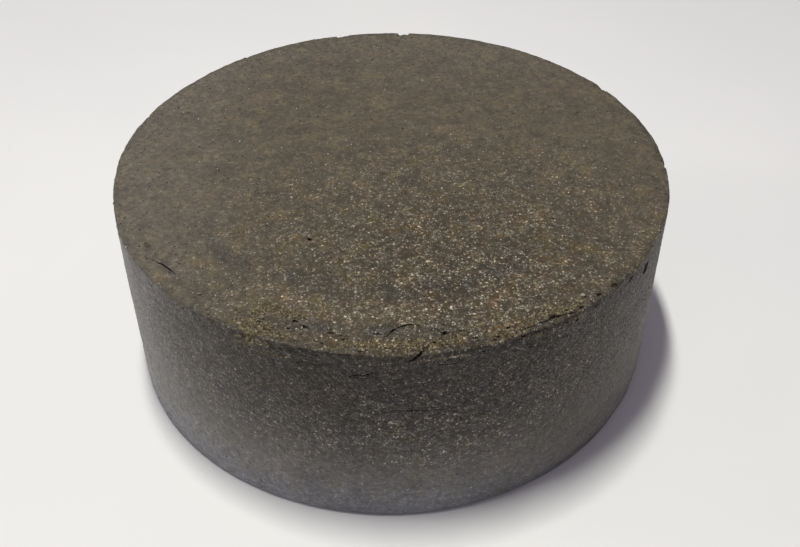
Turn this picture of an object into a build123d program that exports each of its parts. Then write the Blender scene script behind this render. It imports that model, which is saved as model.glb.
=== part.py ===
"""Pressed rosin cake: a short round puck of compacted resin grains with a cracked front lip.

Frame: millimetres, +Z up, origin at the centre of the face it rests on, cracked front towards -Y.
Directions round the cake are degrees from the front, positive towards +X. Places on the rim are
given as (direction, inset), where the inset is measured inwards from the round wall.
"""
from build123d import *
from math import cos, radians, sin
import os

# Driving dimensions of the cake
DIAMETER = 50.0
HEIGHT = 19.15
LIP_ROUND = 0.35
FOOT_ROUND = 0.6

# Cracks that part the lip flakes from the body
CRACK_GAP = 0.18
OVERSHOOT = 3.0

# Worn foot: a slanted facet across the foot's edge at the front right
WORN_FOOT_DIRECTION = 44.0
WORN_FOOT_INSET = 1.0
WORN_FOOT_SLOPE = 50.0

# Lip flakes: how deep each one reaches below the top face, and the crack line on its inner side.
# Every line runs anticlockwise, from the flake's left end to its right end.
FLAKES = {
    "lip_flake_left": {
        "depth": 1.3,
        "crack": [(-57.5, 0.6), (-55.7, 1.1), (-52.3, 1.6), (-47.3, 1.7), (-45.2, 0.9)],
    },
    "lip_flake_front_left": {
        "depth": 1.9,
        "crack": [(-22.6, 1.5), (-19.2, 2.7), (-17.0, 2.3), (-14.9, 1.6), (-11.6, 2.1), (-9.0, 1.8),
                  (-3.4, 1.9)],
    },
    "lip_flake_front": {
        "depth": 1.6,
        "crack": [(-2.4, 1.6), (-1.2, 2.1), (0.4, 2.7), (1.8, 3.0), (4.9, 3.2), (5.9, 2.3),
                  (5.5, 1.1), (4.0, 0.5)],
    },
    "lip_flake_front_right": {
        "depth": 1.7,
        "crack": [(4.9, 0.5), (6.3, 1.0), (6.8, 2.2), (7.9, 2.6), (9.3, 2.0), (11.1, 2.0),
                  (14.2, 1.1)],
    },
    "lip_flake_right": {
        "depth": 1.1,
        "crack": [(23.0, 0.5), (24.1, 0.8), (29.8, 0.9), (32.2, 0.8), (35.6, 0.4)],
    },
}

# Chips broken out of the edge: direction, inset of the deepest point, chip radius, depth below top
CHIPS = [
    (178.5, 1.05, 1.70, 0.0),
    (-168.0, 0.40, 1.30, 0.0),
    (45.5, 0.55, 0.55, 0.2),
    (50.5, 0.40, 0.50, 0.6),
    (57.0, 0.50, 0.75, 1.3),
]

# Loose crumbs lying on the top face: direction, inset, radius, number of sides, twist
CRUMBS = [
    (-25.6, 2.00, 0.36, 5, 10),
    (-28.3, 1.10, 0.26, 6, 35),
    (-31.5, 2.70, 0.22, 5, 50),
    (-40.0, 1.60, 0.24, 6, 5),
    (16.5, 2.60, 0.24, 5, 25),
    (19.5, 1.20, 0.28, 6, 15),
    (27.0, 2.20, 0.22, 5, 60),
    (38.5, 1.20, 0.30, 6, 40),
    (63.0, 1.40, 0.22, 5, 20),
]
CRUMB_HEIGHT_TO_RADIUS = 0.8
CRUMB_TAPER = 24.0

RADIUS = DIAMETER / 2


def rim_point(direction, inset, z=0.0):
    """The point at a direction round the cake and a distance inwards from its wall."""
    reach = RADIUS - inset
    turn = radians(direction)
    return Vector(reach * sin(turn), -reach * cos(turn), z)


def make_puck():
    """The whole cake before it cracked: straight wall, rounded lip, rounder foot."""
    puck = Cylinder(RADIUS, HEIGHT, align=(Align.CENTER, Align.CENTER, Align.MIN))
    foot_edge, lip_edge = puck.edges().filter_by(GeomType.CIRCLE).sort_by(Axis.Z)
    puck = fillet(lip_edge, LIP_ROUND)
    foot_edge = puck.edges().filter_by(GeomType.CIRCLE).sort_by(Axis.Z)[0]
    return fillet(foot_edge, FOOT_ROUND)


def worn_foot_cutter():
    """A block whose slanted face planes off the edge of the foot over a short stretch."""
    block = Box(DIAMETER, DIAMETER, DIAMETER, align=(Align.CENTER, Align.CENTER, Align.MAX))
    tilted = Rot(-WORN_FOOT_SLOPE, 0, 0) * block
    return Rot(0, 0, WORN_FOOT_DIRECTION) * Pos(0, WORN_FOOT_INSET - RADIUS, 0) * tilted


def chip_cutter(direction, inset, chip_radius, depth):
    """A ball that bites into the edge as far as the chip's inset."""
    return Pos(rim_point(direction, inset - chip_radius, HEIGHT - depth)) * Sphere(chip_radius)


def flake_outline(crack):
    """The flake in plan: its crack line, closed outside the wall."""
    inner = [rim_point(direction, inset) for direction, inset in crack]
    last, first = crack[-1][0], crack[0][0]
    outer = [rim_point(last, -OVERSHOOT), rim_point((last + first) / 2, -OVERSHOOT),
             rim_point(first, -OVERSHOOT)]
    return make_face(Polyline(*inner, *outer, close=True))


def prism(outline, depth):
    """The outline as a block from the flake's bed up past the top face."""
    return extrude(Pos(0, 0, HEIGHT - depth) * outline, depth + OVERSHOOT)


def make_crumb(direction, inset, crumb_radius, sides, twist):
    """A many-sided grain with a flat underside, lying on the top face."""
    base = Pos(rim_point(direction, inset, HEIGHT)) * Rot(0, 0, twist) * RegularPolygon(crumb_radius, sides)
    return extrude(base, CRUMB_HEIGHT_TO_RADIUS * crumb_radius, taper=CRUMB_TAPER)


def write(node, shape):
    """One STEP file for each node, named after it."""
    shape.label = node
    export_step(shape, f"parts/{node}.step")


os.makedirs("parts", exist_ok=True)

puck = make_puck() - worn_foot_cutter()
for chip in CHIPS:
    puck -= chip_cutter(*chip)

body = puck
for node, flake in FLAKES.items():
    outline = flake_outline(flake["crack"])
    seat = offset(outline, CRACK_GAP, kind=Kind.INTERSECTION)
    body -= prism(seat, flake["depth"])
    write(node, puck & prism(outline, flake["depth"]))
write("cake_body", body)

write("loose_crumbs", Compound(children=[make_crumb(*crumb) for crumb in CRUMBS]))
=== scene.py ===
from math import cos, pi, radians, sin

import bmesh
import bpy
import numpy as np
from mathutils import Matrix, Vector


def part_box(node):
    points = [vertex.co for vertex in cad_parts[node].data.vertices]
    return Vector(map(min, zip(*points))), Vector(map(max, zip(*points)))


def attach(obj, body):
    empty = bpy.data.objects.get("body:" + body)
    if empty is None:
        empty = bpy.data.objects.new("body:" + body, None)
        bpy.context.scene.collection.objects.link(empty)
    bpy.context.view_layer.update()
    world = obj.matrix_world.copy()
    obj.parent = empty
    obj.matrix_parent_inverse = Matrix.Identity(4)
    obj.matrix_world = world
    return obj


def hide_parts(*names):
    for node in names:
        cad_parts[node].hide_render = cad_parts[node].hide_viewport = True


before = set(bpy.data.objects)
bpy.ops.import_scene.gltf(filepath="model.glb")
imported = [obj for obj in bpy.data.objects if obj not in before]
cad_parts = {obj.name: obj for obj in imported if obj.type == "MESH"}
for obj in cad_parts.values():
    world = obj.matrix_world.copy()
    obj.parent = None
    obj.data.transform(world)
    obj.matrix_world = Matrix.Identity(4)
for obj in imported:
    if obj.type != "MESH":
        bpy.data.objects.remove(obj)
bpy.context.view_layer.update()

# ---- Sizes ----
# Mesh code works in millimetres, in the row frame. Directions round the cake are degrees from the
# front (-Y), positive towards +X. An inset is measured inwards from the round wall.
MM = 0.001
FLAKES = [name for name in sorted(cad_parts) if name.startswith("lip_flake")]


def node_box(node):
    """A CAD node's lowest and highest corner in millimetres."""
    low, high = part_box(node)
    return np.array(low) / MM, np.array(high) / MM


body_low, body_high = node_box("cake_body")
RADIUS = (body_high[0] - body_low[0]) / 2
HEIGHT = body_high[2]

SKIN_INSET = 0.02        # the smooth skin lies this far inside the CAD size, to leave room for relief
LIP_ROUND = 0.16
FOOT_ROUND = 0.55
SKIN_RADIUS = RADIUS - SKIN_INSET
SKIN_HEIGHT = HEIGHT - SKIN_INSET

# Distances along the skin's profile, from the centre of the top face out, down and in again
TOP_END = SKIN_RADIUS - LIP_ROUND
LIP_END = TOP_END + LIP_ROUND * pi / 2
WALL_END = LIP_END + SKIN_HEIGHT - LIP_ROUND - FOOT_ROUND
FOOT_END = WALL_END + FOOT_ROUND * pi / 2
PROFILE_END = FOOT_END + SKIN_RADIUS - FOOT_ROUND


# ---- Seeded noise on arrays of points ----
def scatter(cell, seed):
    """A repeatable random number from 0 to 1 for each whole-number cell."""
    mixed = cell[..., 0] * 73856093 ^ cell[..., 1] * 19349663 ^ cell[..., 2] * 83492791 ^ seed * 2654435761
    mixed = (mixed ^ mixed >> 13) * 1274126177 & 0xFFFFFFFF
    mixed = (mixed ^ mixed >> 16) * 2246822519 & 0xFFFFFFFF
    return ((mixed ^ mixed >> 15) & 0xFFFFFF) / 0xFFFFFF


def value_noise(points, size, seed):
    """Smooth noise from -1 to 1 whose bumps are about size across."""
    scaled = points / size
    cell = np.floor(scaled).astype(np.int64)
    part = scaled - cell
    part = part * part * part * (part * (part * 6 - 15) + 10)
    total = np.zeros(len(points))
    for corner in np.ndindex(2, 2, 2):
        weight = np.prod(np.where(corner, part, 1 - part), axis=1)
        total += weight * scatter(cell + corner, seed)
    return total * 2 - 1


def rough_noise(points, size, seed, octaves=3, gain=0.5):
    """Several sizes of value noise added up, from about -1 to 1."""
    total, strength, whole = np.zeros(len(points)), 1.0, 0.0
    for octave in range(octaves):
        total += strength * value_noise(points, size / 2 ** octave, seed + octave)
        whole += strength
        strength *= gain
    return total / whole


def grain_bumps(points, size, seed):
    """Rounded grains packed together: 0 in the gaps, up to 1 on the tallest grains."""
    scaled = points / size
    cell = np.floor(scaled).astype(np.int64)
    nearest = np.full(len(points), 9.0)
    height = np.zeros(len(points))
    for step in np.ndindex(3, 3, 3):
        other = cell + np.array(step) - 1
        middle = other + np.stack([scatter(other, seed + axis) for axis in range(3)], axis=1)
        gap = np.sum((scaled - middle) ** 2, axis=1)
        closer = gap < nearest
        nearest = np.where(closer, gap, nearest)
        height = np.where(closer, 0.35 + 0.65 * scatter(other, seed + 7), height)
    return height * np.clip(1 - nearest, 0, 1)


def smooth_step(low, high, values):
    part = np.clip((values - low) / (high - low), 0, 1)
    return part * part * (3 - 2 * part)


def bump_at(values, middle, half_width):
    """1 at the middle, easing to 0 at half_width either side."""
    return 1 - smooth_step(0, half_width, np.abs(values - middle))


# ---- The cake's skin ----
def smooth_skin(direction, along):
    """Points and outward normals of the undamaged skin. direction is in degrees."""
    lip = np.clip((along - TOP_END) / LIP_ROUND, 0, pi / 2)
    foot = np.clip((along - WALL_END) / FOOT_ROUND, 0, pi / 2)
    reach = np.where(along < TOP_END, along, TOP_END + LIP_ROUND * np.sin(lip))
    reach = np.where(along > WALL_END, SKIN_RADIUS - FOOT_ROUND + FOOT_ROUND * np.cos(foot), reach)
    reach = np.where(along > FOOT_END, PROFILE_END - along, reach)
    level = np.where(along < LIP_END, SKIN_HEIGHT - LIP_ROUND + LIP_ROUND * np.cos(lip),
                     SKIN_HEIGHT - LIP_ROUND - (along - LIP_END))
    level = np.where(along > WALL_END, FOOT_ROUND - FOOT_ROUND * np.sin(foot), level)
    slope = np.where(along > WALL_END, pi / 2 + foot, lip)
    turn = np.radians(direction)
    points = np.stack([reach * np.sin(turn), -reach * np.cos(turn), level], axis=1)
    normals = np.stack([np.sin(slope) * np.sin(turn), -np.sin(slope) * np.cos(turn), np.cos(slope)], axis=1)
    return points, normals


def place_of(points):
    """Direction in degrees, distance from the axis, and height, of points in the row frame."""
    direction = np.degrees(np.arctan2(points[:, 0], -points[:, 1]))
    return direction, np.hypot(points[:, 0], points[:, 1]), points[:, 2]


def crumbly(direction):
    """How crumbly the lip is round the cake: 1 along the front, little at the back."""
    front = smooth_step(-48, -24, direction) * (1 - smooth_step(34, 60, direction))
    return 0.22 + 0.78 * front


# Shallow dips in the outline of the top: direction, half width in degrees, depth
RIM_DIPS = [(112, 4, 0.18), (132, 7, 0.28), (176.2, 5, 0.62), (-168, 6, 0.15), (-145, 3, 0.22),
            (-80, 14, 0.36), (-13, 9, 0.26), (25, 7, 0.22), (63, 8, 0.12)]
GROOVE_RADIUS = 18.7     # the shallow ring that the press left in the front half of the top
STEP_RADIUS = 22.7       # the faint step just inside the lip
FLASH_DROP = 0.75        # how far under the top the low ridge along the front of the wall stands
WORN_FOOT = (44, 40)     # the worn stretch of the foot: direction and half width in degrees


def ring_groove(direction, reach):
    """1 in the shallow ring on the top, fading out away from the front left."""
    span = smooth_step(-62, -46, direction) * (1 - smooth_step(18, 40, direction))
    return bump_at(reach, GROOVE_RADIUS, 1.1) * span


def relief(points, normals):
    """How far the real skin stands proud of the smooth one, in millimetres."""
    direction, reach, level = place_of(points)
    facing_up = smooth_step(0.5, 0.9, normals[:, 2])
    facing_down = smooth_step(0.5, 0.9, -normals[:, 2])
    facing_out = 1 - facing_up - facing_down
    from_lip = np.hypot(np.clip(SKIN_RADIUS - reach, 0, None), np.clip(SKIN_HEIGHT - level, 0, None))
    lip = (1 - smooth_step(0.2, 1.7, from_lip)) * crumbly(direction)

    swell = rough_noise(points, 7.0, 11) * 0.05
    grains = grain_bumps(points, 0.80, 21) * 0.045 + grain_bumps(points, 0.42, 31) * 0.040
    drag = rough_noise(points * [0.16, 0.16, 1.0], 0.55, 41, octaves=2)
    top = swell + grains + rough_noise(points, 1.3, 51) * 0.03 - 0.03
    wall = swell * 0.7 + grains * 0.6 + drag * 0.030 - 0.02
    under = grains * 0.3 - 0.04
    out = top * facing_up + wall * facing_out + under * facing_down
    for middle, half_width, depth in RIM_DIPS:
        aside = (direction - middle + 180) % 360 - 180
        near_top = (1 - facing_up) * smooth_step(HEIGHT - 0.8 - 0.45 * half_width, HEIGHT - 0.6, level)
        out -= bump_at(aside, 0, half_width) * near_top * depth

    crumbs = rough_noise(points, 1.5, 61, octaves=4, gain=0.62)
    out += lip * (crumbs * 0.24 + grain_bumps(points, 0.7, 71) * 0.10 - 0.09)
    out -= facing_up * ring_groove(direction, reach) * 0.10
    step = bump_at(reach, STEP_RADIUS, 0.5) * smooth_step(-66, -40, direction)
    step *= 1 - smooth_step(38, 66, direction)
    out -= facing_up * step * (0.07 + 0.06 * value_noise(points, 2.2, 81))
    flash = bump_at(level, SKIN_HEIGHT - FLASH_DROP, 0.65) * facing_out * smooth_step(-36, -20, direction)
    out += flash * (1 - smooth_step(26, 44, direction)) * (0.10 + 0.08 * value_noise(points, 1.3, 91))
    worn = bump_at(direction, *WORN_FOOT) * (1 - smooth_step(0.0, 2.4, level)) * (1 - facing_down)
    out -= worn * (0.26 + 0.10 * value_noise(points, 2.0, 95))
    return out


def real_skin(direction, along):
    """Points of the skin with its relief, kept inside the CAD size."""
    points, normals = smooth_skin(direction, along)
    points = points + normals * relief(points, normals)[:, None]
    reach = np.hypot(points[:, 0], points[:, 1])
    shrink = np.minimum(1, RADIUS / np.maximum(reach, 1e-6))
    points[:, :2] *= shrink[:, None]
    points[:, 2] = np.clip(points[:, 2], 0, HEIGHT)
    return points


# ---- Mesh helpers ----
def add_object(name, data):
    """An object in the scene for a mesh, a camera or a light."""
    made = bpy.data.objects.new(name, data)
    bpy.context.scene.collection.objects.link(made)
    return made


def new_object(name, points, faces):
    """A mesh object from points in millimetres."""
    mesh = bpy.data.meshes.new(name)
    mesh.from_pydata((np.asarray(points) * MM).tolist(), [], [list(map(int, face)) for face in faces])
    mesh.update()
    return add_object(name, mesh)


def mesh_points(made):
    """The object's vertices in millimetres."""
    flat = np.empty(len(made.data.vertices) * 3)
    made.data.vertices.foreach_get("co", flat)
    return flat.reshape(-1, 3) / MM


def zip_rings(first, first_count, second, second_count):
    """Triangles between two closed rings of vertices that start at the same direction."""
    faces, i, j = [], 0, 0
    while i < first_count or j < second_count:
        a, b = first + i % first_count, second + j % second_count
        if j == second_count or (i < first_count and (i + 1) * second_count <= (j + 1) * first_count):
            faces.append((a, b, first + (i + 1) % first_count))
            i += 1
        else:
            faces.append((a, b, second + (j + 1) % second_count))
            j += 1
    return faces


def ring_edges(rings, count):
    """The two lower-numbered corners of each quad between successive rings of count vertices."""
    for ring in range(rings - 1):
        for i in range(count):
            yield ring * count + i, ring * count + (i + 1) % count


# How far the densest rows reach from the lip: inwards on the top, and down the wall
DENSE_TOP = 3.4
DENSE_WALL = 2.4


def ring_rows():
    """Distances along the profile, and how many vertices go round at each: finest at the lip."""
    rows, along = [], 0.26
    while along < PROFILE_END - 0.3:
        reach = np.hypot(*smooth_skin(np.zeros(1), np.array([along]))[0][0, :2])
        near_lip = TOP_END - DENSE_TOP < along < LIP_END + DENSE_WALL
        around = 0.235 if near_lip else (0.3 if along < FOOT_END else 0.55)
        rows.append((along, max(6, round(2 * pi * reach / around))))
        if near_lip:
            along += 0.14
        elif along < TOP_END:
            along += 0.27
        elif along < WALL_END - 0.3:
            along += 0.3
        elif along < FOOT_END:
            along += 0.18
        else:
            along += 0.5
    return rows


FRONT_CROWDING = 0.3     # how much closer together the vertices stand at the front than on average


def make_skin_mesh(name):
    """The whole cake as one closed dense mesh."""
    rows = ring_rows()
    directions, alongs = [np.zeros(1)], [np.zeros(1)]
    for along, count in rows:
        even = np.arange(count) / count * 2 * pi
        directions.append(np.degrees(even - FRONT_CROWDING * np.sin(even)))
        alongs.append(np.full(count, along))
    directions.append(np.zeros(1))
    alongs.append(np.full(1, PROFILE_END))
    points = real_skin(np.concatenate(directions), np.concatenate(alongs))
    first, faces = 1, []
    count = rows[0][1]
    faces += [(0, first + i, first + (i + 1) % count) for i in range(count)]
    for (_, count), (_, next_count) in zip(rows, rows[1:]):
        faces += zip_rings(first, count, first + count, next_count)
        first += count
    count, last = rows[-1][1], len(points) - 1
    faces += [(first + i, last, first + (i + 1) % count) for i in range(count)]
    return new_object(name, points, faces)


def grid_faces(rows, columns):
    """Quads of a grid of vertices, row by row."""
    corner = np.arange(rows - 1)[:, None] * columns + np.arange(columns - 1)
    quads = np.stack([corner, corner + columns, corner + columns + 1, corner + 1], axis=-1)
    return quads.reshape(-1, 4).tolist()


# ---- Cutters for cracks, pits and chips ----
LEVEL_WITHIN = 0.01      # heights closer than this count as the same


def crack_outline(node):
    """The flake's outline in plan, anticlockwise, read from the bed face of its CAD node."""
    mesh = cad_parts[node].data
    floor = node_box(node)[0][2]
    edges = set()
    for face in mesh.polygons:
        corners = [mesh.vertices[i].co / MM for i in face.vertices]
        if max(corner.z for corner in corners) - floor > LEVEL_WITHIN:
            continue
        keys = [(round(corner.x, 3), round(corner.y, 3)) for corner in corners]
        for a, b in zip(keys, keys[1:] + keys[:1]):
            if (b, a) in edges:
                edges.remove((b, a))
            else:
                edges.add((a, b))
    follow = dict(edges)
    start = point = min(follow)
    loop = []
    while True:
        loop.append(point)
        point = follow[point]
        if point == start:
            break
    loop = np.array(loop)
    ahead = np.roll(loop, -1, axis=0)
    anticlockwise = np.sum(loop[:, 0] * ahead[:, 1] - ahead[:, 0] * loop[:, 1]) > 0
    return loop if anticlockwise else loop[::-1]


def resample_loop(loop, spacing):
    """The same closed loop with evenly spaced points."""
    closed = np.vstack([loop, loop[:1]])
    lengths = np.hypot(*np.diff(closed, axis=0).T)
    travelled = np.concatenate([[0], np.cumsum(lengths)])
    wanted = np.arange(0, travelled[-1], spacing)
    return np.stack([np.interp(wanted, travelled, closed[:, axis]) for axis in range(2)], axis=1)


def loop_normals(loop):
    """Outward normals of an anticlockwise loop in plan."""
    along = np.roll(loop, -1, axis=0) - np.roll(loop, 1, axis=0)
    normals = np.stack([along[:, 1], -along[:, 0]], axis=1)
    return normals / np.hypot(*normals.T)[:, None]


LEVEL_STEP = 0.28        # height between the rings of a crack's wall
BEYOND_WALL = 1.6        # how far the cutters reach outside the skin
BEYOND_TOP = 1.2         # and above it
CLOSED = 0.012           # the gap of a crack where it has not opened

# Where the cracks round each flake stand open: direction, inset, reach along the crack, gap
OPENINGS = {
    "lip_flake_left": [(-51.0, 1.52, 1.9, 0.19), (-54.6, 1.05, 1.2, 0.06)],
    "lip_flake_front_left": [(-19.3, 2.65, 0.45, 0.11), (-16.9, 2.30, 0.5, 0.15), (-11.4, 2.10, 0.6, 0.12),
                             (-9.4, 1.85, 0.5, 0.08)],
    "lip_flake_front": [(-0.6, 2.10, 0.8, 0.08), (0.9, 2.75, 1.0, 0.15), (3.4, 3.10, 1.2, 0.14)],
    "lip_flake_front_right": [(8.3, 2.55, 0.6, 0.09), (9.7, 1.95, 0.55, 0.22), (12.0, 1.85, 0.8, 0.06)],
    "lip_flake_right": [(24.2, 0.75, 1.2, 0.10), (27.6, 0.85, 0.9, 0.10), (30.6, 0.85, 1.1, 0.26),
                        (33.4, 0.70, 0.9, 0.14)],
}
THINNER = {"lip_flake_right": 0.30}     # how far a flake's crack lies outside the one of its CAD node


def rim_spots(direction, inset):
    """Points in plan at directions and insets."""
    turn = np.radians(direction)
    return np.stack([np.sin(turn), -np.cos(turn)], axis=-1) * (RADIUS - np.asarray(inset))[..., None]


def crack_gap(node, spots):
    """How wide the crack round a flake stands open at points in plan."""
    gap = np.full(len(spots), CLOSED)
    for direction, inset, reach, width in OPENINGS[node]:
        away = np.hypot(*(spots - rim_spots(direction, inset)).T)
        gap = np.maximum(gap, width * (1 - smooth_step(0.15, 1.0, away / reach)))
    return gap


def flake_block(name, loop, floor, seed, gap, outwards):
    """A closed block in plan like the loop, with wandering walls. gap is how far each point is pushed out,
    and outwards how far the crack lies nearer to the wall than the loop does."""
    reach = np.hypot(*loop.T)
    outside = reach > RADIUS - 0.12
    loop = np.where(outside[:, None], loop * ((RADIUS + BEYOND_WALL) / reach)[:, None],
                    loop * ((reach + outwards) / reach)[:, None])
    normals = loop_normals(loop)
    levels = np.arange(floor, HEIGHT + BEYOND_TOP, LEVEL_STEP)
    rings = []
    for level in levels:
        spots = np.column_stack([loop, np.full(len(loop), level)])
        wander = rough_noise(spots, 1.1, seed, octaves=3, gain=0.6) * 0.20
        ragged = np.clip(1.0 + 0.55 * value_noise(spots * [1, 1, 0.5], 0.45, seed + 40), 0.3, 1.5)
        closing = 0.35 + 0.65 * smooth_step(floor, HEIGHT, level)
        push = np.where(outside, 0.0, wander + gap * ragged * closing)
        rings.append(np.column_stack([loop + normals * push[:, None], spots[:, 2]]))
    points, count = np.concatenate(rings), len(loop)
    faces = [list(range(count))[::-1], list(range(len(points) - count, len(points)))]
    faces += [(a, b, b + count, a + count) for a, b in ring_edges(len(levels), count)]
    return new_object(name, points, faces)


PATCH_STEP = 0.11        # vertex spacing on the flakes
COARSE_TURN = 12.0       # degrees between the vertices of a patch mesh away from its flake
COARSE_STEP = 2.5        # and millimetres between them along the profile


def patch_steps(start, end, fine_start, fine_end, fine, coarse):
    """Numbers from start to end, finely spaced between fine_start and fine_end."""
    before = np.arange(start, fine_start, coarse)
    middle = np.arange(fine_start, fine_end, fine)
    after = np.arange(fine_end, end, coarse)
    return np.concatenate([before, middle, after])


def make_patch_mesh(name, node):
    """The whole cake as one closed mesh that is dense only over one flake."""
    loop = crack_outline(node)
    direction, reach, _ = place_of(np.column_stack([loop, np.zeros(len(loop))]))
    left, right = direction.min() - 2.0, direction.max() + 2.0
    lowest = node_box(node)[0][2]
    turn_step = np.degrees(PATCH_STEP / RADIUS)
    turns = patch_steps(right - 360, right, left, right - turn_step / 2, turn_step, COARSE_TURN)
    deepest = LIP_END + HEIGHT - lowest + 0.5
    alongs = patch_steps(COARSE_STEP, PROFILE_END - 1, reach.min() - 0.7, deepest, PATCH_STEP, COARSE_STEP)
    across, down = np.meshgrid(turns, alongs)
    points = real_skin(np.append(across.ravel(), [0, 0]), np.append(down.ravel(), [0, PROFILE_END]))
    columns, top, bottom = len(turns), across.size, across.size + 1
    faces = [(a, a + columns, b + columns, b) for a, b in ring_edges(len(alongs), columns)]
    last = across.size - columns
    for i in range(columns):
        faces.append((top, i, (i + 1) % columns))
        faces.append((bottom, last + (i + 1) % columns, last + i))
    return new_object(name, points, faces)


def carve(target, cutter, operation):
    """Applies a boolean of the cutter to the target."""
    modifier = target.modifiers.new("carve", "BOOLEAN")
    modifier.object = cutter
    modifier.operation = operation
    modifier.solver = "MANIFOLD"
    graph = bpy.context.evaluated_depsgraph_get()
    carved = bpy.data.meshes.new_from_object(target.evaluated_get(graph))
    target.modifiers.clear()
    old, target.data = target.data, carved
    bpy.data.meshes.remove(old)


def discard(*objects):
    for unwanted in objects:
        mesh = unwanted.data
        bpy.data.objects.remove(unwanted)
        bpy.data.meshes.remove(mesh)


# ---- Damage: chips and pits as bites of rough stones, hairline cracks as thin blades ----
# First seeds of the random shapes
FLAKE_SEED, STONE_SEED, BLADE_SEED, BITE_SEED, CRUMB_SEED = 100, 200, 300, 400, 700
BLADE_RISE = 0.6         # how far a blade starts above the surface
BLADE_FLARE = 1.6        # how many times its given width it is there


def local_frame(direction):
    """Unit vectors round the rim, outwards and up at a direction, as columns."""
    turn = radians(direction)
    return np.array([[-cos(turn), sin(turn), 0], [-sin(turn), -cos(turn), 0], [0, 0, 1]])


def ball_mesh(levels):
    """Vertices and faces of a ball of triangles."""
    ball = bmesh.new()
    bmesh.ops.create_icosphere(ball, subdivisions=levels, radius=1.0)
    points = np.array([vertex.co[:] for vertex in ball.verts])
    faces = np.array([[vertex.index for vertex in face.verts] for face in ball.faces])
    ball.free()
    return points, faces


def make_stone(name, direction, inset, below_top, size, seed):
    """A rough stone. size is its half extents round the rim, outwards and up."""
    points, faces = ball_mesh(4 if max(size) > 0.45 else 3)
    rough = rough_noise(points * 2.1 + seed, 1.0, seed, octaves=3, gain=0.6)
    points = points * (1 + 0.32 * rough)[:, None] * size
    middle = local_frame(direction) @ [0, RADIUS - inset, 0] + [0, 0, HEIGHT - below_top]
    return new_object(name, points @ local_frame(direction).T + middle, faces)


def make_blade(name, spots, width, depth, seed):
    """A thin wandering wedge that follows spots (direction, inset, height) and tapers at its ends."""
    spots = np.array(spots, float)
    steps = np.linspace(0, len(spots) - 1, 12 * (len(spots) - 1) + 1)
    direction, inset, level = (np.interp(steps, np.arange(len(spots)), column) for column in spots.T)
    turn = np.radians(direction)
    outward = np.column_stack([np.sin(turn), -np.cos(turn), np.zeros(len(turn))])
    middle = outward * (RADIUS - inset)[:, None] + np.column_stack([0 * turn, 0 * turn, level])
    sideways = np.clip(1 - inset / 0.8, 0, 1)[:, None]
    into = -outward * sideways - np.array([0.0, 0.0, 1.0]) * (1 - sideways)
    into /= np.linalg.norm(into, axis=1)[:, None]
    along = np.gradient(middle, axis=0)
    across = np.cross(along, into)
    across /= np.linalg.norm(across, axis=1)[:, None]
    middle += across * (rough_noise(middle, 0.7, seed, octaves=4, gain=0.65) * 0.24)[:, None]
    half = width / 2 * np.sin(np.linspace(0.04, pi - 0.04, len(turn))) ** 0.8
    half *= 0.45 + 1.1 * scatter(np.column_stack([np.arange(len(turn))] * 3), seed)
    half = half[:, None]
    back, flare = middle - into * BLADE_RISE, across * half * BLADE_FLARE
    rings = np.stack([back + flare, middle + into * depth, back - flare], axis=1)
    count = len(turn)
    faces = [(0, 1, 2), (3 * count - 1, 3 * count - 2, 3 * count - 3)]
    faces += [(a, a + 3, b + 3, b) for a, b in ring_edges(count, 3)]
    return new_object(name, rings.reshape(-1, 3), faces)


# Stones: direction, inset and depth below the top of the middle, half extents round, out and up
CHIPS = [
    (176.4, -0.40, 0.00, (0.85, 0.95, 0.80)),
    (-168.0, -0.45, 0.00, (1.00, 0.90, 0.80)),
    (-143.0, -0.35, 0.10, (0.80, 0.60, 0.60)),
    (121.0, -0.40, 0.00, (1.20, 0.75, 0.70)),
    (88.0, -0.35, 0.05, (0.90, 0.60, 0.55)),
    (45.2, 0.30, 0.10, (0.35, 0.30, 0.30)),
    (50.0, -0.05, 0.60, (0.35, 0.25, 0.25)),
    (56.8, 0.00, 1.40, (0.62, 0.28, 0.60)),
    (-78.0, -0.40, 0.05, (0.90, 0.65, 0.60)),
    (-110.0, -0.40, 0.10, (0.80, 0.60, 0.60)),
]
PITS = [
    (-59.6, 1.60, 0.00, (0.45, 0.20, 0.16)),
    (-31.2, 11.85, 0.10, (0.20, 0.17, 0.65)),
    (-19.3, 2.62, 0.00, (0.22, 0.13, 0.26)),
    (-16.9, 2.28, 0.00, (0.30, 0.12, 0.28)),
    (-19.7, 1.70, 0.00, (0.18, 0.11, 0.22)),
    (-17.0, 1.30, 0.00, (0.18, 0.10, 0.22)),
    (-13.7, 0.98, 0.00, (0.20, 0.11, 0.22)),
    (-11.6, 2.10, 0.00, (0.30, 0.12, 0.25)),
    (-9.0, 1.50, 0.00, (0.18, 0.11, 0.22)),
    (7.4, 1.20, 0.05, (0.20, 0.12, 0.26)),
    (8.6, 0.80, 0.10, (0.16, 0.10, 0.24)),
    (9.6, 1.96, 0.00, (0.26, 0.13, 0.40)),
    (14.9, 1.05, 0.00, (0.24, 0.10, 0.24)),
    (18.7, 0.62, 0.05, (0.30, 0.12, 0.26)),
    (23.6, 0.20, 0.25, (0.40, 0.16, 0.14)),
    (27.5, 0.30, 0.22, (0.30, 0.16, 0.12)),
    (-25.6, 1.55, 0.00, (0.24, 0.14, 0.20)),
    (-22.9, 1.05, 0.02, (0.28, 0.12, 0.22)),
    (-2.9, 2.35, 0.00, (0.34, 0.12, 0.22)),
    (13.1, 2.05, 0.00, (0.26, 0.11, 0.22)),
    (21.4, 1.20, 0.02, (0.24, 0.12, 0.22)),
    (33.4, 0.75, 0.05, (0.28, 0.14, 0.20)),
    (36.2, 0.35, 0.20, (0.34, 0.16, 0.16)),
    (41.0, 0.45, 0.10, (0.30, 0.14, 0.20)),
    (38.6, 1.10, 0.00, (0.14, 0.22, 0.24)),
]
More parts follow.
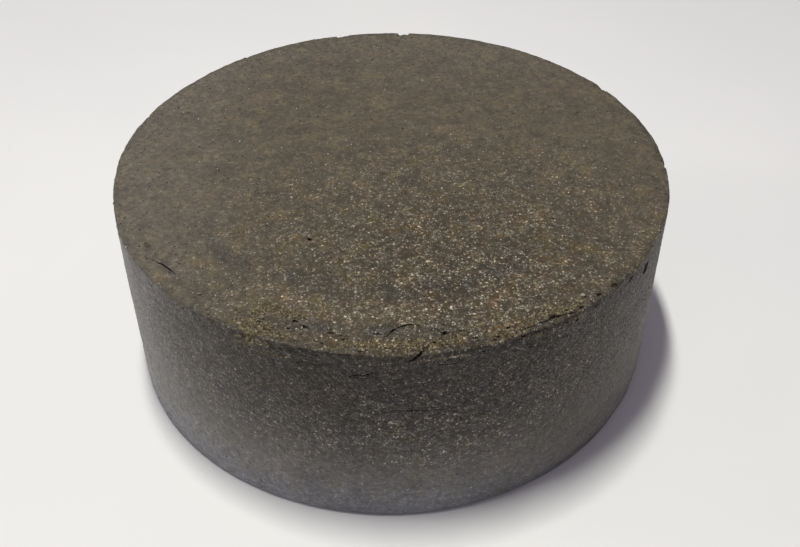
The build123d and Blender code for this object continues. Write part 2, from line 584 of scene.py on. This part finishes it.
# Hairline cracks: width, depth, and the spots that they pass (direction, inset, height)
HAIRLINES = [
    (0.36, 0.6, [(7.0, 1.30, HEIGHT), (6.0, 0.85, HEIGHT), (4.9, 0.40, HEIGHT - 0.05), (3.6, 0.05, 18.70),
                 (2.1, 0.05, 18.40)]),
    (0.13, 0.5, [(-8.6, 0.1, 16.6), (-5.3, 0.1, 17.0), (-1.7, 0.1, 17.5)]),
    (0.10, 0.4, [(-1.8, 0.1, 13.3), (2.9, 0.1, 13.1), (10.2, 0.1, 13.1)]),
    (0.09, 0.4, [(7.0, 0.1, 17.9), (9.5, 0.1, 17.8), (12.4, 0.1, 17.85)]),
    (0.08, 0.4, [(20.0, 0.1, 11.0), (25.0, 0.1, 11.3)]),
    (0.08, 0.4, [(-31.0, 0.1, 10.1), (-27.0, 0.1, 9.9)]),
    (0.12, 0.5, [(150.0, 0.1, 14.6), (158.0, 0.1, 14.9)]),
    (0.10, 0.5, [(96.0, 0.1, 8.5), (102.0, 0.1, 8.2)]),
    (0.10, 0.5, [(-124.0, 0.1, 12.5), (-118.0, 0.1, 12.8)]),
]
LIP_BITES = 34           # small bites out of the crumbly lip at the front
OUTLINE_STEP = 0.13      # vertex spacing round a flake's cutter


def lip_bites():
    """Small stones strewn along the front of the lip, which bite its edge ragged."""
    random = np.random.default_rng(17)
    stones = []
    for number in range(LIP_BITES):
        direction = random.uniform(-33, 44)
        low = random.random() < 0.5
        inset = random.uniform(-0.06, 0.02) if low else random.uniform(0.15, 0.9)
        below = random.uniform(0.30, 0.80) if low else random.uniform(-0.04, 0.03)
        size = random.uniform((0.14, 0.08, 0.08), (0.42, 0.16, 0.15))
        stones.append(make_stone(f"bite_{number}", direction, inset, below, size, BITE_SEED + number))
    return stones


def merge(cutters):
    """One cutter from several."""
    whole = cutters[0]
    for cutter in cutters[1:]:
        carve(whole, cutter, "UNION")
        discard(cutter)
    return whole


def make_cake():
    """The body and its flakes, cracked apart and damaged. Returns them by CAD node."""
    stones = [make_stone(f"stone_{number}", *spot, STONE_SEED + number)
              for number, spot in enumerate(CHIPS + PITS)]
    blades = [make_blade(f"blade_{number}", spots, width, depth, BLADE_SEED + number)
              for number, (width, depth, spots) in enumerate(HAIRLINES)]
    damage = merge(stones + blades + lip_bites())
    parts = {"cake_body": make_skin_mesh("pressed_body")}
    seats = []
    for number, node in enumerate(FLAKES):
        loop = resample_loop(crack_outline(node), OUTLINE_STEP)
        floor, seed = node_box(node)[0][2], FLAKE_SEED + 10 * number
        outwards = THINNER.get(node, 0.0)
        seats.append(flake_block(f"seat_{number}", loop, floor, seed, crack_gap(node, loop), outwards))
        block = flake_block("block", loop, floor, seed, np.zeros(len(loop)), outwards)
        parts[node] = make_patch_mesh("skin_" + node, node)
        carve(parts[node], block, "INTERSECT")
        carve(parts[node], damage, "DIFFERENCE")
        discard(block)
    whole = merge(seats + [damage])
    carve(parts["cake_body"], whole, "DIFFERENCE")
    discard(whole)
    return parts


# ---- What lies at each vertex, stored as attributes that the resin material reads ----
def set_attribute(made, name, values):
    layer = made.data.attributes.new(name, "FLOAT", "POINT")
    layer.data.foreach_set("value", np.asarray(values, np.float32))


# Blotches on the top, most near the front: direction, inset, half size round the rim, half size inwards
OCHRE_BLOTCHES = [(-25.3, 0.9, 1.7, 0.9), (-22.8, 3.3, 2.3, 0.6), (-27.2, 2.5, 0.9, 0.8),
                  (27.5, 1.25, 2.4, 0.6), (34.5, 0.9, 1.6, 0.45), (9.0, 1.05, 2.2, 0.45)]
DARK_BLOTCHES = [(-40.9, 6.3, 1.4, 0.9), (-46.5, 6.0, 1.8, 0.8), (-59.6, 1.6, 0.7, 0.4),
                 (-18.8, 1.7, 1.0, 0.5), (23.2, 21.8, 0.7, 0.7), (47.5, 0.6, 1.3, 0.5),
                 (8.5, 1.6, 1.3, 0.5), (-28.5, 0.1, 0.8, 0.4)]
# Bands round the top: inset, half width, the directions where each starts and ends, strength
DARK_BANDS = [(7.2, 1.7, -36, 46, 0.72), (6.4, 1.0, -62, -28, 0.6), (2.6, 1.0, -27, 18, 1.0),
              (1.6, 0.5, -60, -34, 0.8)]
PALE_BANDS = [(4.7, 1.55, -38, 42, 1.0), (0.5, 0.8, -64, -30, 0.8)]


def banded(direction, inset, patchy, bands):
    """How far inside the nearest of several bands round the top each point lies, from 0 to 1."""
    share = np.zeros(len(direction))
    for middle, half_width, start, end, strength in bands:
        span = smooth_step(start, start + 8, direction) * (1 - smooth_step(end - 14, end, direction))
        share = np.maximum(share, bump_at(inset, middle, half_width) * span * strength * patchy)
    return np.clip(share, 0, 1)


def blotch(points, spots):
    """How far inside the nearest of several ragged blotches each point lies, from 0 to 1."""
    direction, reach, level = place_of(points)
    inset = RADIUS - reach + np.clip(HEIGHT - level - 0.3, 0, None) * 3
    ragged = 0.35 * rough_noise(points, 0.9, 521, octaves=2)
    share = np.zeros(len(points))
    for middle, depth, half_round, half_in in spots:
        aside = np.radians(direction - middle) * (RADIUS - depth) / half_round
        away = np.hypot(aside, (inset - depth) / half_in) + ragged
        share = np.maximum(share, 1 - smooth_step(0.45, 1.15, away))
    return share


def lip_share(points):
    """How much of the ochre, crumbly lip there is at each point, from 0 to 1."""
    direction, reach, level = place_of(points)
    from_band = np.hypot(RADIUS - reach - 1.12, np.clip((HEIGHT - level) * 1.8, 0, None))
    ragged = from_band + rough_noise(points, 1.6, 501, octaves=3) * 0.45
    band = 1 - smooth_step(0.34, 0.86, ragged)
    front = smooth_step(-34, -22, direction) * (1 - smooth_step(20, 44, direction))
    patchy = np.clip(0.80 + 0.7 * value_noise(points, 2.1, 511), 0, 1)
    return np.maximum(band * (0.04 + 0.96 * front) * patchy, blotch(points, OCHRE_BLOTCHES))


def grit_share(points):
    """How coarse and sparkling the grain is: most at the front, inside the lip and high on the wall."""
    on_top = points[:, 2] > HEIGHT - 0.45
    away_x = np.where(on_top, points[:, 0] - 5.5, points[:, 0] - 4.0) * np.where(on_top, 0.79, 0.70)
    away_y = np.where(on_top, (points[:, 1] + 16.5) * 0.86, (points[:, 1] + 22.0) * 0.62)
    lower = np.clip(13.5 - points[:, 2], 0, None) * 2.4
    return np.clip(1.2 - np.hypot(np.hypot(away_x, away_y), lower) / 19, 0.13, 1.1)


def painted_light_share(points, wall):
    """Painted light, from 0 to 1: the wall paler towards the foot and on the left flank, less on the shaded
    right, and the top thinly paler on its left and at its back.
    """
    direction, _, level = place_of(points)
    right = smooth_step(5, 50, direction) * (1 - smooth_step(110, 180, direction))
    lower = np.clip(1.07 - level / 13.5, 0, 1) ** 1.15 * (1 - 0.80 * right)
    left = np.clip(1.42 * bump_at(direction, -87, 62), 0, 1)
    on_top = 0.20 * smooth_step(-8, -24, points[:, 0]) + 0.10 * smooth_step(8, 24, points[:, 1])
    return wall * (1 - (1 - lower) * (1 - left)) + (1 - wall) * on_top


def describe(made):
    """Stores what lies at each vertex: lip, inside (painted shade), wall, painted_light, murk, bloom and
    grit, from 0 to about 1.
    """
    points = mesh_points(made)
    direction, reach, level = place_of(points)
    beneath = np.minimum(RADIUS - reach, HEIGHT - level)
    front = smooth_step(-28, -18, direction) * (1 - smooth_step(28, 40, direction))
    edge = RADIUS - 0.35 - 0.30 * front
    wall = smooth_step(edge - 0.4, edge, reach + 0.5 * (level < 2))
    lip = lip_share(points)
    set_attribute(made, "lip", lip)
    # Painted shade: deep in cracks, pits and chips, by depth under the skin, but not near the foot
    set_attribute(made, "inside", smooth_step(0.26, 0.60, beneath) * smooth_step(2.0, 3.0, level))
    set_attribute(made, "wall", wall)
    # Painted light: paler on the lower wall, on the left flank and on the top's left and back
    set_attribute(made, "painted_light", painted_light_share(points, wall * (level < HEIGHT - 0.4)))
    inset = RADIUS - reach + 0.25 * value_noise(points, 1.8, 551)
    patchy = (0.85 + 0.6 * value_noise(points, 1.3, 541)) * (level > HEIGHT - 0.5)
    dark = np.maximum(banded(direction, inset, patchy, DARK_BANDS), blotch(points, DARK_BLOTCHES))
    set_attribute(made, "murk", dark)
    set_attribute(made, "bloom", banded(direction, inset, patchy, PALE_BANDS))
    set_attribute(made, "grit", grit_share(points) + 0.28 * lip)


# ---- Materials ----
class Maker:
    """Short calls that build one material's nodes."""

    def __init__(self, name):
        self.material = bpy.data.materials.new(name)
        self.material.use_nodes = True
        self.tree = self.material.node_tree
        self.shader = self.tree.nodes["Principled BSDF"]

    def put(self, socket, value):
        if isinstance(value, bpy.types.NodeSocket):
            self.tree.links.new(value, socket)
        elif value is not None:
            socket.default_value = value

    def node(self, kind, *inputs, **settings):
        made = self.tree.nodes.new(kind)
        for key, value in settings.items():
            setattr(made, key, value)
        for socket, value in zip(made.inputs, inputs):
            self.put(socket, value)
        return made

    def math(self, operation, *inputs):
        return self.node("ShaderNodeMath", *inputs, operation=operation).outputs[0]

    def vector(self, operation, *inputs):
        return self.node("ShaderNodeVectorMath", *inputs, operation=operation).outputs[0]

    def scaled(self, vector, factor):
        """A vector or colour times one factor."""
        made = self.node("ShaderNodeVectorMath", vector, operation="SCALE")
        self.put(made.inputs["Scale"], factor)
        return made.outputs[0]

    def millimetres(self):
        """The place on the object, in millimetres."""
        return self.scaled(self.node("ShaderNodeTexCoord").outputs["Object"], 1 / MM)

    def grey(self, value):
        return self.node("ShaderNodeCombineColor", value, value, value).outputs[0]

    def channels(self, colour):
        """The red, green and blue of a colour."""
        return self.node("ShaderNodeSeparateColor", colour).outputs[:3]

    def attribute(self, name):
        return self.node("ShaderNodeAttribute", attribute_name=name).outputs["Fac"]

    def span(self, value, low, high, new_low=0.0, new_high=1.0):
        """Maps low..high onto new_low..new_high, clamped."""
        made = self.node("ShaderNodeMapRange", value, low, high, new_low, new_high)
        return made.outputs[0]

    def blend(self, share, first, second, kind="MIX"):
        """Mixes two colours."""
        made = self.tree.nodes.new("ShaderNodeMix")
        made.data_type, made.blend_type, made.clamp_result = "RGBA", kind, False
        for index, value in ((0, share), (6, first), (7, second)):
            self.put(made.inputs[index], value)
        return made.outputs[2]

    def ramp(self, value, *stops):
        """A colour ramp with (place, colour) stops."""
        made = self.node("ShaderNodeValToRGB", value)
        band = made.color_ramp
        while len(band.elements) < len(stops):
            band.elements.new(1.0)
        for element, (place, colour) in zip(band.elements, stops):
            element.position, element.color = place, colour
        return made.outputs[0]

    def noise(self, place, size, detail=2.0, rough=0.5):
        """Noise whose lumps are size millimetres across. Returns its value and its colour."""
        made = self.node("ShaderNodeTexNoise")
        for key, value in (("Vector", place), ("Scale", 1 / size), ("Detail", detail), ("Roughness", rough)):
            self.put(made.inputs[key], value)
        return made.outputs[0], made.outputs[1]

    def cells(self, place, size):
        """Packed grains size millimetres across. Returns distance from the middle and a random colour."""
        made = self.node("ShaderNodeTexVoronoi")
        self.put(made.inputs["Vector"], place)
        self.put(made.inputs["Scale"], 1 / size)
        return made.outputs["Distance"], made.outputs["Color"]

    def bump(self, strength, depth, heights, normal=None):
        """Bumps depth millimetres high."""
        made = self.node("ShaderNodeBump")
        for key, value in (("Strength", strength), ("Distance", depth * MM), ("Height", heights),
                           ("Normal", normal)):
            self.put(made.inputs[key], value)
        return made.outputs[0]

    def finish(self, **sockets):
        """Sets the shader's sockets, named with _ for a space, and returns the material."""
        for key, value in sockets.items():
            self.put(self.shader.inputs[key.replace("_", " ")], value)
        return self.material


def tone(red, green, blue):
    """An opaque colour."""
    return (red, green, blue, 1.0)


def resin_material(name):
    """Pressed resin grains: brown on top, blackish on the wall, golden where the lip has crumbled."""
    make = Maker(name)
    place = make.millimetres()
    level = make.node("ShaderNodeSeparateXYZ", place).outputs[2]
    lip, inside, wall, painted_light, murk, bloom, grit = (
        make.attribute(key) for key in ("lip", "inside", "wall", "painted_light", "murk", "bloom", "grit"))

    far, grain = make.cells(place, 0.19)
    fine_far, fine_grain = make.cells(place, 0.10)
    grain_1, grain_2, grain_3 = make.channels(grain)
    fine_1, fine_2, _ = make.channels(fine_grain)
    close, hue = make.noise(place, 1.5, 3.0, 0.65)
    middle, _ = make.noise(place, 0.5, 2.0, 0.5)
    broad, _ = make.noise(place, 3.2, 3.0, 0.6)
    ragged, _ = make.noise(place, 0.45, 3.0, 0.65)
    ragged = make.math("SUBTRACT", ragged, 0.5)

    # Where the wall's dark skin and the golden crumbs begin
    beneath = make.math("MULTIPLY_ADD", ragged, 1.3, make.math("SUBTRACT", HEIGHT, level))
    wall = make.math("MULTIPLY", wall, make.span(beneath, -0.06, 0.16))
    golden = make.span(make.math("MULTIPLY_ADD", ragged, 1.1, lip), 0.38, 0.62)

    # The colour of the pressed mass, before its single grains
    top = make.blend(make.span(close, 0.32, 0.68), tone(0.064, 0.051, 0.032), tone(0.100, 0.080, 0.050))
    side = make.blend(make.span(close, 0.32, 0.68), tone(0.036, 0.0286, 0.0190), tone(0.054, 0.0444, 0.0285))
    ochre = make.blend(make.span(middle, 0.30, 0.70), tone(0.082, 0.058, 0.030), tone(0.172, 0.138, 0.070))
    # Painted light: the pale tone for the lower wall, the left flank and the top, bluish at the foot like the
    # light off the floor
    painted_light_tone = make.blend(make.span(level, 0.4, 5.2), tone(0.204, 0.210, 0.234), tone(0.190, 0.182, 0.173))
    streak, _ = make.noise(make.vector("MULTIPLY", place, (0.28, 0.28, 1.5)), 0.5, 3.0, 0.6)
    # Painted shade: the wall darker just under the lip, a little lighter lower down
    shade_under_lip = make.span(level, 14.5, 18.2, 1.06, 0.84)
    streaked = make.math("MULTIPLY", make.span(streak, 0.3, 0.7, 0.70, 1.30), shade_under_lip)
    side = make.blend(1.0, side, make.grey(streaked), "MULTIPLY")
    colour = make.blend(wall, top, side)
    # Painted light laid over the colour
    colour = make.blend(painted_light, colour, painted_light_tone)
    colour = make.blend(make.math("MULTIPLY", bloom, 0.78), colour, tone(0.118, 0.094, 0.060))
    colour = make.blend(make.math("MULTIPLY", golden, 0.92), colour, ochre)
    colour = make.blend(make.math("MULTIPLY", murk, 0.76), colour, tone(0.042, 0.039, 0.031))
    tints = (tone(1.12, 1.04, 0.72), tone(0.88, 0.98, 0.98), tone(1.10, 0.96, 0.95))
    strength = make.span(grit, 0.2, 1.0, 0.40, 1.0)
    for share, tint in zip(make.channels(hue), tints):
        tinted = make.blend(1.0, colour, tint, "MULTIPLY")
        colour = make.blend(make.math("MULTIPLY", make.span(share, 0.50, 0.66), strength), colour, tinted)
    patch = make.math("MULTIPLY_ADD", make.math("SUBTRACT", middle, 0.5), 1.25, 1.0)
    patch = make.math("MULTIPLY", patch, make.span(broad, 0.3, 0.7, 0.82, 1.18))
    colour = make.blend(1.0, colour, make.grey(patch), "MULTIPLY")

    # Single grains stand out lighter and greyer, or darker and browner, than the mass round them, with
    # painted glints and painted shade between grains.
    # Painted glints: the brightest grains lifted far above the rest
    speck_and_glint = make.math("ADD", make.span(grain_1, 0.0, 1.0, 0.0, 1.25), make.span(grain_1, 0.88, 1.0, 0.0, 1.6))
    fine = make.math("ADD", make.span(fine_1, 0.0, 1.0, 0.0, 1.30), make.span(fine_1, 0.90, 1.0, 0.0, 2.0))
    # Painted shade in the gaps between grains
    wide_gap = make.span(far, 0.38, 0.72, 1.0, 0.15)
    gap = make.math("MULTIPLY", wide_gap, make.span(fine_far, 0.50, 0.85, 1.0, 0.70))
    # Painted shade: some larger cells become dark spots
    _, dark_grain = make.cells(place, 0.34)
    dark = make.span(make.channels(dark_grain)[0], 0.26, 0.38)
    light = make.math("MULTIPLY", make.math("MULTIPLY", speck_and_glint, fine), make.math("MULTIPLY", gap, dark))
    light = make.math("MINIMUM", light, 3.2)
    contrast = make.math("MULTIPLY", grit, make.span(wall, 0.0, 1.0, 2.6, 3.4))
    light = make.math("MULTIPLY", make.math("SUBTRACT", light, 0.244), contrast)
    greyer = make.blend(0.6, colour, make.grey(make.node("ShaderNodeRGBToBW", colour).outputs[0]))
    colour = make.vector("ADD", colour, make.scaled(greyer, light))
    colour = make.vector("MAXIMUM", colour, (0.006, 0.005, 0.004))
    # Painted shade: near black deep in cracks, pits and chips
    colour = make.blend(make.math("MULTIPLY", inside, 0.80), colour, tone(0.018, 0.011, 0.008))

    # Each grain has its own roughness, and a few of the finest glint
    rough = make.span(grain_2, 0.0, 1.0, 0.50, 0.85)
    glint = make.math("MULTIPLY", make.span(fine_2, 0.90, 0.97, 0.0, 0.35), grit)
    rough = make.math("SUBTRACT", rough, glint)

    # Each fine grain's facet leans its own way, and the grains stand domed
    lean = make.scaled(make.vector("SUBTRACT", fine_grain, (0.5, 0.5, 0.5)), make.math("MULTIPLY", grit, 0.5))
    normal = make.node("ShaderNodeNewGeometry").outputs["Normal"]
    facet = make.vector("NORMALIZE", make.vector("ADD", normal, lean))
    dome = make.math("MULTIPLY", make.math("SUBTRACT", 1.0, far), make.span(grain_3, 0.0, 1.0, 0.5, 1.0))
    heights = make.math("ADD", dome, make.math("MULTIPLY", make.math("SUBTRACT", 1.0, fine_far), 0.4))
    heights = make.math("MULTIPLY", heights, make.span(grit, 0.2, 0.8, 0.45, 1.0))
    return make.finish(Base_Color=colour, Roughness=rough, Sheen_Weight=0.25, Sheen_Roughness=0.45,
                       Sheen_Tint=tone(0.90, 0.87, 0.82), Normal=make.bump(1.0, 0.055, heights, facet))


def grain_material(name, dark, middle, pale, rough_low, rough_high):
    """Loose or half-sunk resin grains. Each grain's tone comes from its mesh."""
    make = Maker(name)
    place = make.millimetres()
    shade = make.attribute("tone")
    cloud, _ = make.noise(place, 0.12, 2.0)
    colour = make.ramp(shade, (0.0, dark), (0.6, middle), (1.0, pale))
    veil = make.span(cloud, 0.3, 0.7, 0.72, 1.25)
    colour = make.blend(1.0, colour, make.grey(veil), "MULTIPLY")
    rough = make.span(cloud, 0.3, 0.7, rough_low, rough_high)
    return make.finish(Base_Color=colour, Roughness=rough, Normal=make.bump(0.6, 0.02, cloud))


# ---- Grains of resin, half sunk in the surface ----
def surface_triangles(parts):
    """Corners of every triangle of the parts' skins, in millimetres."""
    corners = []
    for part in parts:
        part.data.calc_loop_triangles()
        index = np.empty(len(part.data.loop_triangles) * 3, np.int32)
        part.data.loop_triangles.foreach_get("vertices", index)
        corners.append(mesh_points(part)[index.reshape(-1, 3)])
    return np.concatenate(corners)


def sow(name, triangles, count, sizes, chance, sink, seed):
    """One mesh of many rough grains scattered over the triangles. chance(points, normals) gives how
    thickly they lie, and sink how deep their middles are, as a share of their size."""
    random = np.random.default_rng(seed)
    cross = np.cross(triangles[:, 1] - triangles[:, 0], triangles[:, 2] - triangles[:, 0])
    areas = np.linalg.norm(cross, axis=1) / 2
    normals = cross / np.maximum(2 * areas, 1e-12)[:, None]
    weights = areas * chance(triangles.mean(axis=1), normals)
    chosen = random.choice(len(triangles), count, p=weights / weights.sum())
    mix = random.dirichlet((1, 1, 1), count)
    middles = np.einsum("nk,nkx->nx", mix, triangles[chosen])
    size = sizes[0] + (sizes[1] - sizes[0]) * random.random(count) ** 2.2
    middles -= normals[chosen] * (size * sink)[:, None]
    ball, faces = ball_mesh(1)
    turn = random.normal(size=(count, 4))
    turn /= np.linalg.norm(turn, axis=1)[:, None]
    w, x, y, z = turn.T
    spin = np.stack([1 - 2 * (y * y + z * z), 2 * (x * y - w * z), 2 * (x * z + w * y),
                     2 * (x * y + w * z), 1 - 2 * (x * x + z * z), 2 * (y * z - w * x),
                     2 * (x * z - w * y), 2 * (y * z + w * x), 1 - 2 * (x * x + y * y)], axis=1)
    shape = ball[None] * (0.78 + 0.44 * random.random((count, len(ball), 1)))
    shape = shape * (size[:, None] / 2 * (0.62 + 0.55 * random.random((count, 3))))[:, None]
    points = np.einsum("nij,nkj->nki", spin.reshape(-1, 3, 3), shape) + middles[:, None]
    points = points.reshape(-1, 3)
    reach = np.hypot(points[:, 0], points[:, 1])
    points[:, :2] *= np.minimum(1, RADIUS / np.maximum(reach, 1e-6))[:, None]
    points[:, 2] = np.clip(points[:, 2], 0, None)
    index = faces[None] + (np.arange(count) * len(ball))[:, None, None]
    made = new_object(name, points, index.reshape(-1, 3))
    set_attribute(made, "tone", np.repeat(random.random(count), len(ball)))
    return made


def on_skin(points):
    """1 on the outer skin and 0 inside cracks and pits."""
    _, reach, level = place_of(points)
    beneath = np.minimum(np.minimum(RADIUS - reach, HEIGHT - level), level)
    return 1 - smooth_step(0.30, 0.42, beneath)


# How thickly grains lie on the top, on the wall, along the lip and all over, for sow()
def over_top(points, normals):
    return on_skin(points) * smooth_step(0.3, 0.8, normals[:, 2])


def over_wall(points, normals):
    upright = smooth_step(0.3, 0.8, 1 - np.abs(normals[:, 2]))
    return on_skin(points) * upright * (points[:, 2] > 0.4) * grit_share(points)


def over_lip(points, normals):
    return on_skin(points) * lip_share(points) ** 1.5 * (points[:, 2] > HEIGHT - 1.6)


def all_over(points, normals):
    return (over_top(points, normals) + 0.35 * over_wall(points, normals)) * grit_share(points)


SAME_CRUMB = 0.9         # foot vertices nearer than this in plan belong to one crumb


def make_crumbs():
    """The loose crumbs: a rough grain for each solid of the CAD group, where that solid lies."""
    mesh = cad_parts["loose_crumbs"].data
    spots = np.array([vertex.co[:] for vertex in mesh.vertices]) / MM
    spots = spots[spots[:, 2] < node_box("loose_crumbs")[0][2] + LEVEL_WITHIN]
    groups = []
    for spot in spots:
        near = [group for group in groups if np.hypot(*(group[0] - spot)[:2]) < SAME_CRUMB]
        if near:
            near[0].append(spot)
        else:
            groups.append([spot])
    ball, faces = ball_mesh(3)
    points, index = [], []
    for number, group in enumerate(groups):
        middle = np.mean(group, axis=0)
        radius = max(np.hypot(*(spot - middle)[:2]) for spot in group)
        rough = rough_noise(ball * 1.7 + 9 * number, 1.0, CRUMB_SEED + number, octaves=3, gain=0.6)
        rough = 1 + 0.42 * rough
        shape = ball * rough[:, None] * [radius * 0.62, radius * 0.5, radius * 0.45]
        shape[:, 2] += radius * 0.2
        index.append(faces + number * len(ball))
        points.append(shape + middle + [0, 0, -0.02])
    made = new_object("loose_crumb_grains", np.concatenate(points), np.concatenate(index))
    shades = 0.35 + 0.5 * scatter(np.arange(len(groups))[:, None] * [1, 1, 1], 5)
    set_attribute(made, "tone", np.repeat(shades, len(ball)))
    return made


# ---- The stage: camera, floor and light ----
def place_camera():
    """The photograph's view: close above the front, looking down on the cake."""
    distance = 3.818 * RADIUS                 # from the middle of the top face
    elevation = radians(34.33)
    lower_aim, aim_right, roll = radians(6.14), radians(0.44), radians(0.62)
    spot = Vector((0, -distance * cos(elevation), HEIGHT + distance * sin(elevation))) * MM
    data = bpy.data.cameras.new("camera")
    data.sensor_width = 36.0
    data.lens = 46.8
    data.clip_start = 0.005
    data.clip_end = 20
    camera = add_object("camera", data)
    aim = Matrix.Rotation(pi / 2 - elevation, 4, "X")
    aim = aim @ Matrix.Rotation(-aim_right, 4, "Y") @ Matrix.Rotation(-lower_aim, 4, "X")
    camera.matrix_world = Matrix.Translation(spot) @ aim @ Matrix.Rotation(-roll, 4, "Z")
    bpy.context.scene.camera = camera


def make_floor():
    """A wide white sheet under the cake."""
    steps, half = 41, 900.0
    line = np.linspace(-1, 1, steps)
    line = half * np.sign(line) * np.abs(line) ** 1.6
    across, back = np.meshgrid(line, line)
    points = np.column_stack([across.ravel(), back.ravel(), np.zeros(across.size)])
    floor = new_object("floor", points, grid_faces(steps, steps))
    make = Maker("white_sheet")
    tint, _ = make.noise(make.millimetres(), 40.0, 3.0)
    paper = make.blend(make.span(tint, 0.35, 0.65), tone(0.84, 0.84, 0.845), tone(0.87, 0.868, 0.86))
    floor.data.materials.append(make.finish(Base_Color=paper, Roughness=0.6))


def area_light(name, across, along, energy, colour, spot):
    """A rectangular area light at spot, facing straight down until it is turned."""
    data = bpy.data.lights.new(name, "AREA")
    data.shape, data.size, data.size_y = "RECTANGLE", across, along
    data.energy, data.color = energy, colour
    light = add_object(name, data)
    light.location = spot
    return light


def place_lights():
    """A short soft strip above the cake, a low window on the left and a pale room."""
    area_light("strip", 0.015, 0.066, 0.600, (1.0, 1.0, 0.925), (-0.0212, -0.0040, 0.276))
    window = area_light("window", 0.24, 0.07, 0.40, (1.0, 0.985, 0.97), (-0.45, 0.02, 0.05))
    window.rotation_euler = (Vector((0, 0, 0.01)) - window.location).to_track_quat("-Z", "Z").to_euler()
    world = bpy.data.worlds.new("room")
    bpy.context.scene.world = world
    world.use_nodes = True
    background = world.node_tree.nodes["Background"]
    background.inputs["Color"].default_value = (0.222, 0.202, 0.240, 1)
    background.inputs["Strength"].default_value = 1.0
    bpy.context.scene.view_settings.view_transform = "Standard"


# ---- Putting it together ----
place_camera()
make_floor()
place_lights()

resin = resin_material("pressed_resin")
parts = make_cake()
for node, part in parts.items():
    describe(part)
    part.data.materials.clear()
    part.data.materials.append(resin)
    part.data.shade_smooth()
    part.data.set_sharp_from_angle(angle=radians(48))
    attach(part, "root")
    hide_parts(node)

triangles = surface_triangles(parts.values())
pale = grain_material("pale_grains", tone(0.10, 0.088, 0.062), tone(0.20, 0.178, 0.135),
                      tone(0.62, 0.58, 0.48), 0.3, 0.6)
brown = grain_material("brown_grains", tone(0.022, 0.017, 0.011), tone(0.058, 0.046, 0.029),
                       tone(0.14, 0.118, 0.080), 0.5, 0.8)
ochre = grain_material("ochre_grains", tone(0.030, 0.019, 0.010), tone(0.110, 0.084, 0.042),
                       tone(0.26, 0.225, 0.13), 0.45, 0.75)
SOWN = [
    ("pale_grains", 5000, (0.06, 0.19), all_over, 0.15, pale, "crumbs", 1),
    ("brown_grains_top", 9000, (0.10, 0.25), over_top, 0.20, brown, "pressed_resin", 2),
    ("brown_grains_wall", 8000, (0.10, 0.25), over_wall, 0.25, brown, "pressed_resin", 3),
    ("ochre_grains", 3500, (0.08, 0.26), over_lip, 0.10, ochre, "cracked_lip", 4),
]
for name, count, sizes, chance, sink, material, slot, seed in SOWN:
    grains = sow(name, triangles, count, sizes, chance, sink, seed)
    grains.data.materials.append(material)
    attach(grains, "root")

crumbs = make_crumbs()
crumbs.data.materials.append(pale)
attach(crumbs, "root")
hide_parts("loose_crumbs")
